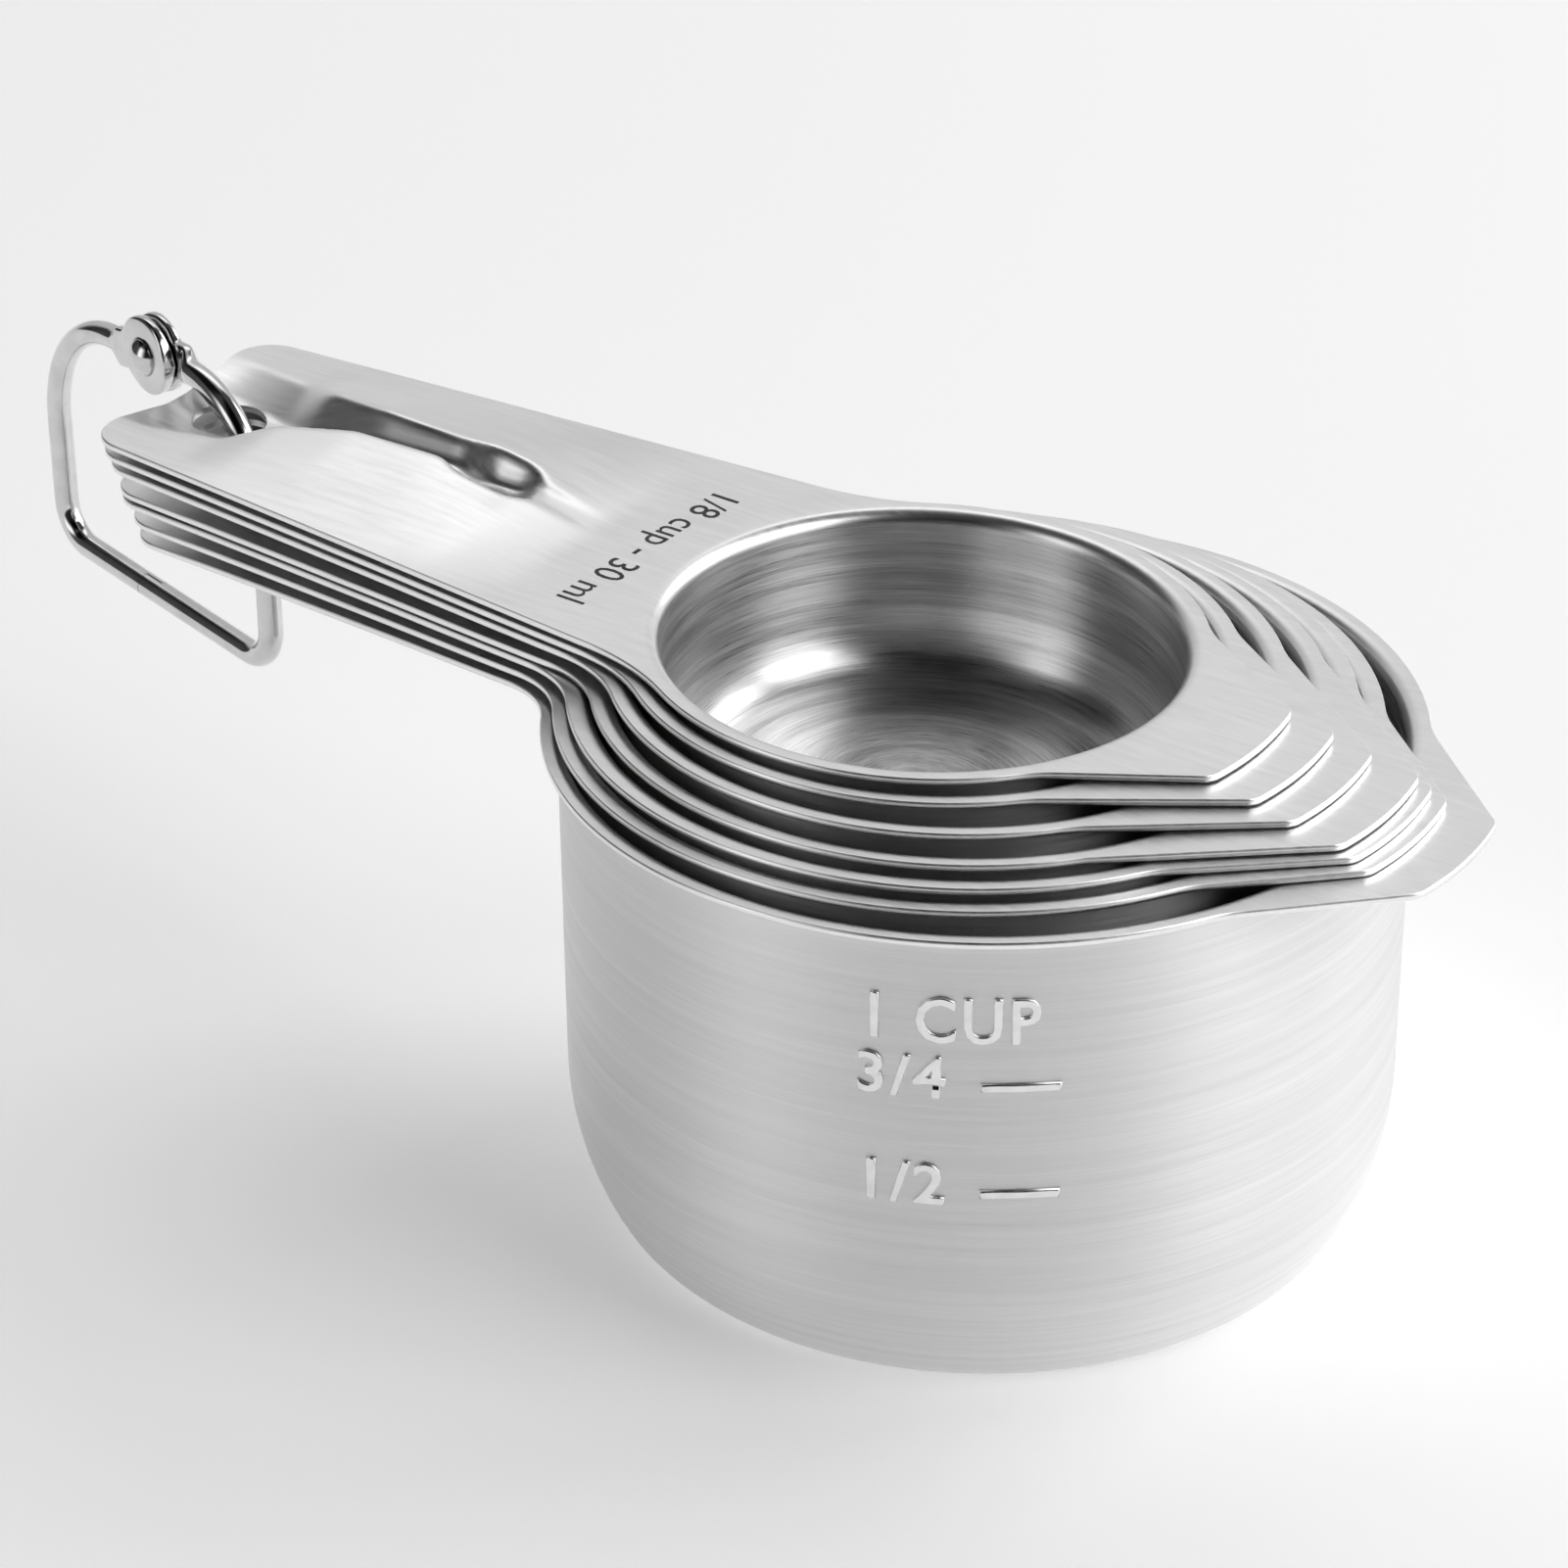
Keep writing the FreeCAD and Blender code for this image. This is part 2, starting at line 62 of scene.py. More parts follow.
CUP_FIELDS = (
    "wall_radius", "lip_radius", "bowl_x", "depth", "corner_width", "corner_height",
    "spout_x", "spout_angle", "root_round", "tip_x", "hole_x", "spout_lift", "hole_lift", "mark",
)
CUPS = {
    "one": (41.75, 43.4, 0.0, 52.7, 8.6, 16.7, 51.5, 44.0, 9.0, -97.0, -89.6, 0.0, 0.0,
            "1 cup - 240 ml"),
    "three_quarter": (38.7, 40.6, -1.9, 44.0, 8.2, 14.5, 46.3, 43.0, 10.0, -97.6, -90.0, 0.9, 2.0,
                      "3/4 cup - 180 ml"),
    "two_thirds": (36.85, 38.7, -2.6, 42.0, 8.0, 14.0, 44.7, 41.0, 11.0, -99.0, -90.6, 1.8, 4.1,
                   "2/3 cup - 160 ml"),
    "half": (34.5, 36.2, -2.9, 37.5, 7.8, 13.0, 43.3, 40.0, 12.0, -99.2, -91.0, 2.7, 5.1,
             "1/2 cup - 120 ml"),
    "third": (31.7, 33.4, -4.4, 30.5, 7.4, 11.5, 38.3, 38.0, 15.0, -100.2, -92.4, 3.6, 7.6,
              "1/3 cup - 80 ml"),
    "quarter": (28.7, 30.4, -6.1, 27.0, 7.2, 11.0, 34.2, 35.0, 19.0, -101.0, -93.1, 4.5, 8.9,
                "1/4 cup - 60 ml"),
    "eighth": (26.5, 28.3, -7.1, 17.5, 6.8, 9.0, 29.6, 33.0, 26.0, -101.4, -93.9, 5.4, 10.3,
               "1/8 cup - 30 ml"),
}

# Pressed shape of every handle: station X, half width to the handle's edge, then the crest's half
# width and height and the valley's half width and height.
PRESSING = np.array((
    (-103.0, 14.4, 9.6, 0.0, 1.5, -1.4),
    (-101.4, 14.5, 9.6, 0.0, 1.5, -1.4),
    (-97.0, 14.9, 9.2, 0.1, 3.9, -1.9),
    (-89.0, 15.7, 7.8, 0.5, 2.5, -2.2),
    (-84.0, 16.1, 4.8, 2.4, 1.2, -1.4),
    (-75.0, 16.9, 2.7, 3.6, 0.5, 0.6),
    (-64.0, 17.9, 2.2, 3.6, 0.5, 1.2),
    (-61.0, 18.2, 3.4, 3.1, 1.8, -0.2),
    (-56.5, 18.6, 3.4, 2.4, 1.8, -0.2),
    (-54.0, 18.8, 2.0, 1.8, 1.0, 1.4),
    (-46.0, 19.5, 2.0, 0.0, 1.0, 0.0),
    (56.0, 28.7, 2.0, 0.0, 1.0, 0.0),
))
PRESSED_END = -44.0    # the top is flat from here to the spout


class Cup:
    """The sizes of one cup by name, and the place of its own frame in the set."""

    def __init__(self, name):
        self.name = name
        for field, value in zip(CUP_FIELDS, CUPS[name]):
            setattr(self, field, value)
        self.mouth = self.wall_radius - SHEET + LIP_ROUND
        rise = (self.hole_lift - self.spout_lift) / (TILT_NEAR_X - TILT_FAR_X)
        lean = math.asin(rise)
        shift = Vector((
            TILT_NEAR_X - TILT_NEAR_X * math.cos(lean),
            0,
            SET_HEIGHT + self.spout_lift + TILT_NEAR_X * math.sin(lean),
        ))
        self.place = Matrix.Translation(shift) @ Matrix.Rotation(lean, 4, "Y")


# ---------------------------------------------------------------- mesh helpers


def new_piece(name, points, faces, body, material, place=None, sharp=()):
    """A smooth-shaded mesh from points in millimetres, riding on a body."""
    matrix = Matrix.Scale(MM, 4) @ (place or Matrix())
    mesh = bpy.data.meshes.new(name)
    mesh.from_pydata([matrix @ Vector(p) for p in points], [], faces)
    mesh.validate()
    mesh.polygons.foreach_set("use_smooth", [True] * len(mesh.polygons))
    if sharp:
        wanted = {tuple(sorted(pair)) for pair in sharp}
        flags = [tuple(sorted(e.vertices)) in wanted for e in mesh.edges]
        mesh.attributes.new("sharp_edge", "BOOLEAN", "EDGE").data.foreach_set("value", flags)
    mesh.materials.append(material)
    piece = bpy.data.objects.new(name, mesh)
    bpy.context.scene.collection.objects.link(piece)
    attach(piece, body)
    return piece


def sample_arc(centre, radius, start, end, step=0.5):
    """Points along an arc, ends included, about step millimetres apart. Angles in radians."""
    count = max(3, math.ceil(abs(end - start) * radius / step))
    return [
        (centre[0] + radius * math.cos(start + (end - start) * i / count),
         centre[1] + radius * math.sin(start + (end - start) * i / count))
        for i in range(count + 1)
    ]


def sample_line(a, b, step):
    """Points along a line, both ends left out."""
    count = max(1, math.ceil(math.dist(a, b) / step))
    return [(a[0] + (b[0] - a[0]) * i / count, a[1] + (b[1] - a[1]) * i / count)
            for i in range(1, count)]


# ---------------------------------------------------------------- cup geometry


def cup_outline(cup):
    """The cut edge of the pressing, counter-clockwise, worked out from its lines and tangent arcs."""
    r, cx = cup.lip_radius, cup.bowl_x
    # handle side: y = side0 + HANDLE_FLARE * x, and its outward normal
    side0 = HANDLE_HALF - HANDLE_FLARE * cup.tip_x
    norm = math.hypot(1, HANDLE_FLARE)
    side_n = (-HANDLE_FLARE / norm, 1 / norm)

    def side_y(x, out=0.0):
        return side0 + HANDLE_FLARE * x + out * norm

    # tip corner, a convex round between the end and the side
    tip_c = (cup.tip_x + TIP_ROUND, side_y(cup.tip_x + TIP_ROUND, -TIP_ROUND))
    side_angle = math.atan2(side_n[1], side_n[0])
    tip = sample_arc(tip_c, TIP_ROUND, math.pi, side_angle)
    # root, a concave round between the side and the lip
    big = cup.root_round
    a = 1 + HANDLE_FLARE**2
    level = side_y(0, big)
    b = -2 * cx + 2 * HANDLE_FLARE * level
    c = cx**2 + level**2 - (r + big) ** 2
    root_x = (-b - math.sqrt(b * b - 4 * a * c)) / (2 * a)
    root_c = (root_x, side_y(root_x, big))
    to_bowl = math.atan2(-root_c[1], cx - root_c[0])
    root = sample_arc(root_c, big, side_angle - math.pi, to_bowl)
    # spout side: runs forward at the spout angle to the corner (spout_x, SPOUT_HALF)
    slope = math.radians(cup.spout_angle)
    run = (math.cos(slope), -math.sin(slope))
    run_n = (math.sin(slope), math.cos(slope))
    edge = cup.spout_x * run_n[0] + SPOUT_HALF * run_n[1]
    # spout root, a concave round between the lip and the spout side
    soft = SPOUT_ROOT_ROUND
    off = edge + soft - cx * run_n[0]
    along = math.sqrt((r + soft) ** 2 - off**2)
    spout_c = (cx + off * run_n[0] + along * run[0], off * run_n[1] + along * run[1])
    back = math.atan2(-spout_c[1], cx - spout_c[0])
    spout_root = sample_arc(spout_c, soft, back, slope * -1 - math.pi / 2)
    # spout corner, a convex round between the spout side and the bowed end
    corner_x = cup.spout_x - SPOUT_ROUND
    corner_y = (edge - SPOUT_ROUND - corner_x * run_n[0]) / run_n[1]
    corner = sample_arc((corner_x, corner_y), SPOUT_ROUND, math.pi / 2 - slope, 0.0, 0.3)
    lip = sample_arc((cx, 0), r, to_bowl + math.pi, back + math.pi, 0.9)
    end_half = [(cup.spout_x, 0.0)] + sample_line((cup.spout_x, 0.0), corner[-1], 0.7)
    half = ([(cup.tip_x, 0.0)] + sample_line((cup.tip_x, 0.0), tip[0], 0.4) + tip
            + sample_line(tip[-1], root[0], 1.2) + root + lip[1:-1] + spout_root
            + sample_line(spout_root[-1], corner[0], 1.2) + corner + end_half[:0:-1] + end_half[:1])
    bowed = []
    for x, y in half:
        near = max(0.0, 1 - (y / SPOUT_HALF) ** 2) if x > cup.spout_x - SPOUT_ROUND - 0.01 else 0.0
        bowed.append((x + SPOUT_BOW * near, y))
    mirrored = [(x, -y) for x, y in bowed[1:-1]]
    return np.array(bowed[::-1] + mirrored)


def inside(outline, points):
    """Which points lie inside a closed outline, by crossing count."""
    ax, ay = outline[:, 0], outline[:, 1]
    bx, by = np.roll(ax, -1), np.roll(ay, -1)
    px, py = points[:, 0][:, None], points[:, 1][:, None]
    crosses = (ay > py) != (by > py)
    with np.errstate(divide="ignore", invalid="ignore"):
        at = ax + (py - ay) * (bx - ax) / (by - ay)
    return (crosses & (px < at)).sum(1) % 2 == 1


def section_height(x, y):
    """Height of the pressed handle above its edge plane, before its creases are softened."""
    edge, crest, crest_up, valley, valley_up = (
        np.interp(x, PRESSING[:, 0], PRESSING[:, i]) for i in range(1, 6)
    )
    far = np.abs(y)
    wall = valley_up + (crest_up - valley_up) * (far - valley) / (crest - valley)
    roof = crest_up * (edge - far) / (edge - crest)
    return np.where(far < valley, valley_up, np.where(far < crest, wall, np.maximum(roof, 0.0)))


def pressed_height(x, y):
    """Height of the pressed handle, with every crease rounded over about a millimetre."""
    total = 0.0
    for dx in (-1.0, -0.5, 0.0, 0.5, 1.0):
        for dy in (-0.45, -0.22, 0.0, 0.22, 0.45):
            total = total + section_height(x + dx, y + dy)
    return np.where(x < PRESSED_END, total / 25, 0.0)


def bowl_profile(cup, inset):
    """Half section of the bowl from its mouth to its centre: radius and height under the lip."""
    wall = cup.wall_radius
    floor = -(cup.depth + SHEET)
    small = BASE_ROUND
    width, height = cup.corner_width, cup.corner_height
    large = (width**2 + height**2 - 2 * height * small) / (2 * (width - small))
    large_c = (wall - large, floor + height)
    small_c = (wall - width, floor + small)
    bend = math.atan2(small_c[1] - large_c[1], small_c[0] - large_c[0])
    lip = sample_arc((cup.mouth, -LIP_ROUND), LIP_ROUND - SHEET + inset, math.pi / 2, math.pi, 0.25)
    lower = sample_arc(large_c, large - inset, 0.0, bend, 1.0)
    foot = sample_arc(small_c, small - inset, bend, -math.pi / 2, 0.6)
    base = sample_line(foot[-1], (0.6, floor + inset), 3.0) + [(0.6, floor + inset)]
    return lip + sample_line(lip[-1], lower[0], 1.5) + lower + foot[1:] + base


TURNS = 144   # steps round a bowl
BORE = 40     # steps round the ring's hole


def make_cup(cup, material):
    """The whole pressing as one closed mesh: both faces, cut edge, bowl and the ring's hole."""
    outline = cup_outline(cup)
    before, after = np.roll(outline, 1, 0), np.roll(outline, -1, 0)
    way = after - before
    way /= np.linalg.norm(way, axis=1)[:, None]
    inner = outline - EDGE_ROUND * np.stack((way[:, 1], -way[:, 0]), 1)
    turn = np.arange(TURNS) * 2 * math.pi / TURNS
    mouth = np.stack((cup.bowl_x + cup.mouth * np.cos(turn), cup.mouth * np.sin(turn)), 1)
    round_ = np.arange(BORE) * 2 * math.pi / BORE
    bore = np.stack((cup.hole_x + HOLE_RADIUS * np.cos(round_), HOLE_Y + HOLE_RADIUS * np.sin(round_)), 1)

    # interior points: close together across the handle's creases, sparse on the flat lip
    flank = np.arange(10.8, 20, 1.5)
    across = np.concatenate((np.arange(-9.6, 9.7, 0.4), flank, -flank))
    grid = [(x, y) for x in np.arange(cup.tip_x + 0.6, PRESSED_END, 0.8) for y in across]
    grid += [(x, y) for x in np.arange(PRESSED_END, 52, 3.0) for y in np.arange(-44, 45, 3.0)]
    grid = np.array(grid)
    grid = grid[inside(outline, grid)]
    clear = np.hypot(grid[:, 0] - cup.bowl_x, grid[:, 1]) > cup.mouth + 0.4
    clear &= np.hypot(grid[:, 0] - cup.hole_x, grid[:, 1] - HOLE_Y) > HOLE_RADIUS + 0.25
    gaps = np.hypot(grid[:, 0][:, None] - outline[:, 0], grid[:, 1][:, None] - outline[:, 1]).min(1)
    grid = grid[clear & (gaps > 0.45)]

    flat = np.concatenate((inner, mouth, bore, grid))
    loops = []
    start = 0
    for ring in (inner, mouth, bore):
        count = len(ring)
        loops += [(start + i, start + (i + 1) % count) for i in range(count)]
        start += count
    found, _, faces, ids, _, _ = geometry.delaunay_2d_cdt([Vector(p) for p in flat], loops, [], 1, 1e-6)
    source = [i[0] for i in ids]
    kept = []
    for a, b, c in faces:
        mx = (found[a].x + found[b].x + found[c].x) / 3
        my = (found[a].y + found[b].y + found[c].y) / 3
        if math.hypot(mx - cup.bowl_x, my) < cup.mouth * math.cos(math.pi / TURNS):
            continue
        if math.hypot(mx - cup.hole_x, my - HOLE_Y) < HOLE_RADIUS * math.cos(math.pi / BORE):
            continue
        kept.append((source[a], source[b], source[c]))

    height = pressed_height(flat[:, 0], flat[:, 1])
    top = [(p[0], p[1], z) for p, z in zip(flat, height)]
    low = [(p[0], p[1], z - SHEET) for p, z in zip(flat, height)]
    points = top + low
    half = len(flat)
    faces = kept + [(c + half, b + half, a + half) for a, b, c in kept]
    sharp = []

    def wall(upper, lower):
        """Quads between two closed loops of the same length, counter-clockwise from above."""
        for i in range(len(upper)):
            j = (i + 1) % len(upper)
            faces.append((upper[i], lower[i], lower[j], upper[j]))

    # cut edge, with softened corners
    rim = pressed_height(outline[:, 0], outline[:, 1])
    first = len(points)
    count = len(outline)
    points += [(p[0], p[1], z - EDGE_ROUND) for p, z in zip(outline, rim)]
    points += [(p[0], p[1], z - SHEET + EDGE_ROUND) for p, z in zip(outline, rim)]
    upper = list(range(count))
    edge_a = list(range(first, first + count))
    edge_b = list(range(first + count, first + 2 * count))
    lower = [i + half for i in upper]
    for a, b in ((upper, edge_a), (edge_a, edge_b), (edge_b, lower)):
        wall(a, b)
    for ring in (upper, lower):
        sharp += [(ring[i], ring[(i + 1) % count]) for i in range(count)]

    # ring's hole
    bore_top = [count + TURNS + i for i in range(BORE)]
    bore_low = [i + half for i in bore_top]
    wall(bore_low, bore_top)
    for ring in (bore_top, bore_low):
        sharp += [(ring[i], ring[(i + 1) % BORE]) for i in range(BORE)]

    # bowl: inner skin from the top face, outer skin from the under face
    for inset, ring, inner_skin in ((SHEET, [count + i for i in range(TURNS)], True),
                                    (0.0, [count + half + i for i in range(TURNS)], False)):
        for radius, z in bowl_profile(cup, inset)[1:]:
            fresh = len(points)
            points += [(cup.bowl_x + radius * math.cos(t), radius * math.sin(t), z) for t in turn]
            following = list(range(fresh, fresh + TURNS))
            if inner_skin:
                wall(ring[::-1], following[::-1])
            else:
                wall(ring, following)
            ring = following
        faces.append(tuple(ring) if inner_skin else tuple(ring[::-1]))
    piece = new_piece(f"cup_{cup.name}_pressing", points, faces, f"cup_{cup.name}", material,
                      cup.place, sharp)
    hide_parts(f"cup_{cup.name}")


# ---------------------------------------------------------------- lettering

MARK_X = -39.3             # centre of the handle marks
MARK_Y = -0.6
MARK_HEIGHT = 3.3
MARK_WIDTH = 0.98          # width against the font's own
MARK_FACE = 0.02           # how far the flat marks lie above the steel
WALL_MARK_TURN = -56.0     # degrees round the bowl from +X
WALL_MARK_RELIEF = 0.3     # how far the stamped marks stand up
WALL_MARK_SPACING = 1.12
CUP_MARK_ALONG = -4.9      # places round the wall from WALL_MARK_TURN, and levels over the table
CUP_MARK_LEVEL = 43.9
CUP_MARK_HEIGHT = 4.6
CUP_MARK_WIDTH = 0.85
FRACTION_ALONG = -9.4
FRACTION_LEVELS = {"3/4": 37.7, "1/2": 26.0}
FRACTION_HEIGHT = 4.2
DASH_ALONG = 1.8
DASH_DROP = 0.2
DASH_WIDTH = 4.2
CAP_HEIGHT = 0.69          # height of a capital letter against the font's size


def text_mesh(words, height, width_scale=1.0, relief=0.0, spacing=1.0):
    """Lettering in the built-in font as points and faces, centred, in millimetres.

    relief is how far rounded letters stand up from their base at z = 0.
    """
    curve = bpy.data.curves.new("lettering", "FONT")
    curve.body = words
    curve.align_x = "CENTER"
    curve.align_y = "CENTER"
    curve.size = height / CAP_HEIGHT
    curve.space_character = spacing
    curve.resolution_u = 3
    if relief:
        curve.extrude = relief / 2
        curve.bevel_depth = relief / 2
        curve.bevel_resolution = 2
    holder = bpy.data.objects.new("lettering", curve)
    bpy.context.scene.collection.objects.link(holder)
    bpy.context.view_layer.update()
    mesh = bpy.data.meshes.new_from_object(holder)
    shape = bmesh.new()
    shape.from_mesh(mesh)
    bmesh.ops.triangulate(shape, faces=shape.faces)
    bmesh.ops.subdivide_edges(shape, edges=[e for e in shape.edges if e.calc_length() > 1.2], cuts=1)
    bmesh.ops.triangulate(shape, faces=shape.faces)
    shape.verts.index_update()
    points = [(v.co.x * width_scale, v.co.y, v.co.z) for v in shape.verts]
    faces = [tuple(v.index for v in f.verts) for f in shape.faces]
    shape.free()
    bpy.data.objects.remove(holder)
    bpy.data.curves.remove(curve)
    bpy.data.meshes.remove(mesh)
    return points, faces


def handle_mark(cup, material):
    """The volume across the handle's root, read from the bowl's side."""
    points, faces = text_mesh(cup.mark, MARK_HEIGHT, MARK_WIDTH)
    placed = [(MARK_X + y, MARK_Y - x, MARK_FACE) for x, y, _ in points]
    piece = new_piece(f"mark_{cup.name}", placed, faces, f"cup_{cup.name}", material, cup.place)


def wall_mark(name, words, along, level, height, cup, material, width_scale=1.0):
    """A stamped fill mark on the outside of the wall, in letters of a height.

    along is the distance of its centre round the wall from WALL_MARK_TURN, and level is the height
    of its centre over the table.
    """
    points, faces = text_mesh(words, height, width_scale, WALL_MARK_RELIEF, WALL_MARK_SPACING)
    placed = []
    for x, y, z in points:
        radius = cup.wall_radius + z
        turn = math.radians(WALL_MARK_TURN) + (along + x) / cup.wall_radius
        across, deep = radius * math.cos(turn), radius * math.sin(turn)
        placed.append((cup.bowl_x + across, deep, level + y - SET_HEIGHT))
    piece = new_piece(name, placed, faces, f"cup_{cup.name}", material, cup.place)


# ---------------------------------------------------------------- ring geometry

RING_AT = Vector((-109.6, 5.4, 43.7))
RING_YAW = -18.0
BODY_ARCH = (8.9, 8.2, 12.5)       # centre X, centre Z and radius of the arch on the cups' side
GATE_ARCH = (6.3, 4.8, 14.6)
BAR_DROP = 9.7
WIRE = 1.35
BEND = 4.5
LATCH_X = -2.6
LATCH_LAP = 3.0
LATCH_GAP = 0.1
RIVET_X = 1.2
RIVET_UP = 20.3
EAR_RADIUS = 4.4
EAR_THICK = 1.4
EAR_GAP = 0.1          # from the ring's middle plane to the face of each ear
NECK_RUN = 2.2         # length over which the wire is hammered flat
NECK_SPREAD = 0.9      # how far the hammered wire spreads to each side
EAR_SQUARE = 0.55      # how much the ear's section is squared off, of 1
HEAD_RADIUS = 2.2
HEAD_HIGH = 1.2
HEAD_GAP = 0.05
SHANK = 1.25
WASHER_RADIUS = 2.7
WASHER_THICK = 0.6
WASHER_ROUND = 0.15
TAIL_RADIUS = 2.0
TAIL_HIGH = 0.8
DOME_STEPS = 8
RING_PLACE = Matrix.Translation(RING_AT) @ Matrix.Rotation(math.radians(RING_YAW), 4, "Z")


def ring_path(side):
    """Points (x, z) of the wire and of its ear, from the latch round to the far side of the ear."""
    arch_x, arch_z, arch = BODY_ARCH if side > 0 else GATE_ARCH
    edge = arch_x + arch
    start = side * LATCH_X - LATCH_LAP / 2
    wire = [(start + LATCH_GAP / 2, -BAR_DROP), (start + LATCH_LAP + LATCH_GAP / 2, -BAR_DROP)]
    wire += sample_line(wire[-1], (edge - BEND, -BAR_DROP), 3.0)
    wire += sample_arc((edge - BEND, -BAR_DROP + BEND), BEND, -math.pi / 2, 0.0, 0.5)
    wire += sample_line(wire[-1], (edge, arch_z), 2.0)
    wire += sample_arc((arch_x, arch_z), arch, 0.0, math.pi / 2, 0.9)[1:]
    root_x, root_z = wire[-1]
    rivet = side * RIVET_X
    ear = []
    steps = 36
    for i in range(1, steps + 1):
        x = root_x - (root_x - rivet + EAR_RADIUS) * i / steps
        part = min(1.0, (root_x - x) / (root_x - rivet))
        ease = part * part * (3 - 2 * part)
        ear.append((x, root_z * (1 - ease) + RIVET_UP * ease))
    return wire, ear


def make_ring_half(name, body, side, front, material):
    """Half of the wire: half lap, bar, bend, arch and the flattened ear, swept as one skin."""
    wire, ear = ring_path(side)
    stations = wire + ear
    root_x = wire[-1][0]
    count = len(stations)
    around = 28
    points = []

    # cross-sections: round along the wire, then flattened and squared off into the ear
    rings = []
    for i, (x, z) in enumerate(stations):
        a = stations[max(0, i - 1)]
        b = stations[min(count - 1, i + 1)]
        way = Vector((b[0] - a[0], b[1] - a[1])).normalized()
        to_rivet = x - side * RIVET_X
        spread = min(1.0, (root_x - x) / NECK_RUN) if i >= len(wire) else 0.0
        flat = spread * spread * (3 - 2 * spread)
        disc = math.sqrt(max(0.0, EAR_RADIUS**2 - to_rivet**2))
        wide = WIRE
        if flat > 0:
            neck = WIRE + NECK_SPREAD * flat
            wide = max(disc, neck) if to_rivet > 0 else disc
            wide = max(wide, 0.05)
        thick = WIRE + (EAR_THICK / 2 - WIRE) * flat
        shift = front * (EAR_GAP + EAR_THICK / 2) * flat
        power = 1.0 - EAR_SQUARE * flat
        ring = []
        for k in range(around):
            t = 2 * math.pi * k / around
            u = math.copysign(abs(math.cos(t)) ** power, math.cos(t)) * wide
            v = math.copysign(abs(math.sin(t)) ** power, math.sin(t)) * thick + shift
            ring.append((u, v))
        rings.append(((x, z), way, ring))
    faces = []

    def add_section(spot, way, ring):
        first = len(points)
        for u, v in ring:
            points.append((side * (spot[0] - way.y * u), v, spot[1] + way.x * u))
        return list(range(first, first + around))

    # half lap: the tongue is the wire less the other half's share
    lap = -front
    tongue = [(u, lap * max(lap * v, LATCH_GAP)) for u, v in rings[0][2]]
    sections = [add_section(*rings[0][:2], tongue), add_section(*rings[1][:2], tongue)]
    sections.append(add_section(*rings[1][:2], rings[1][2]))
    sections += [add_section(*r) for r in rings[2:]]
    sharp = []
    for a, b in zip(sections, sections[1:]):
        for k in range(around):
            m = (k + 1) % around
            quad = (a[k], a[m], b[m], b[k])
            faces.append(quad if side > 0 else quad[::-1])
    for ring in sections[:3]:
        sharp += [(ring[k], ring[(k + 1) % around]) for k in range(around)]
    for k, (_, v) in enumerate(tongue):
        if abs(lap * v - LATCH_GAP) < 1e-6:
            sharp.append((sections[0][k], sections[1][k]))
    faces.append(tuple(sections[0][::-1]) if side > 0 else tuple(sections[0]))
    faces.append(tuple(sections[-1]) if side > 0 else tuple(sections[-1][::-1]))
    piece = new_piece(f"{name}_wire", points, faces, body, material, RING_PLACE, sharp)
    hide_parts(name)


def dome(rim, high, base, way):
    """Points of a domed end from its rim to the axis."""
    radius = (rim**2 + high**2) / (2 * high)
    centre = base + way * (high - radius)
    half = math.asin(rim / radius)
    turns = [half * (1 - i / DOME_STEPS) for i in range(DOME_STEPS + 1)]
    return [(radius * math.sin(t), centre + way * radius * math.cos(t)) for t in turns]


def make_turned(name, node, section, material):
    """A turned piece on the rivet's axis, from (radius, distance along the axis) points."""
    around = 40
    points = []
    faces = []
    rings = []
    for radius, y in section:
        if radius < 1e-6:
            rings.append([len(points)] * around)
            points.append((RIVET_X, y, RIVET_UP))
            continue
        rings.append(list(range(len(points), len(points) + around)))
        points += [(RIVET_X + radius * math.cos(2 * math.pi * k / around), y,
                    RIVET_UP + radius * math.sin(2 * math.pi * k / around)) for k in range(around)]
    for a, b in zip(rings, rings[1:]):
        for k in range(around):
            m = (k + 1) % around
            quad = [a[k], a[m], b[m], b[k]]
            face = [v for n, v in enumerate(quad) if v not in quad[:n]]
            faces.append(tuple(face))
    piece = new_piece(name, points, faces, "ring", material, RING_PLACE)
    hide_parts(node)


# ---------------------------------------------------------------- materials


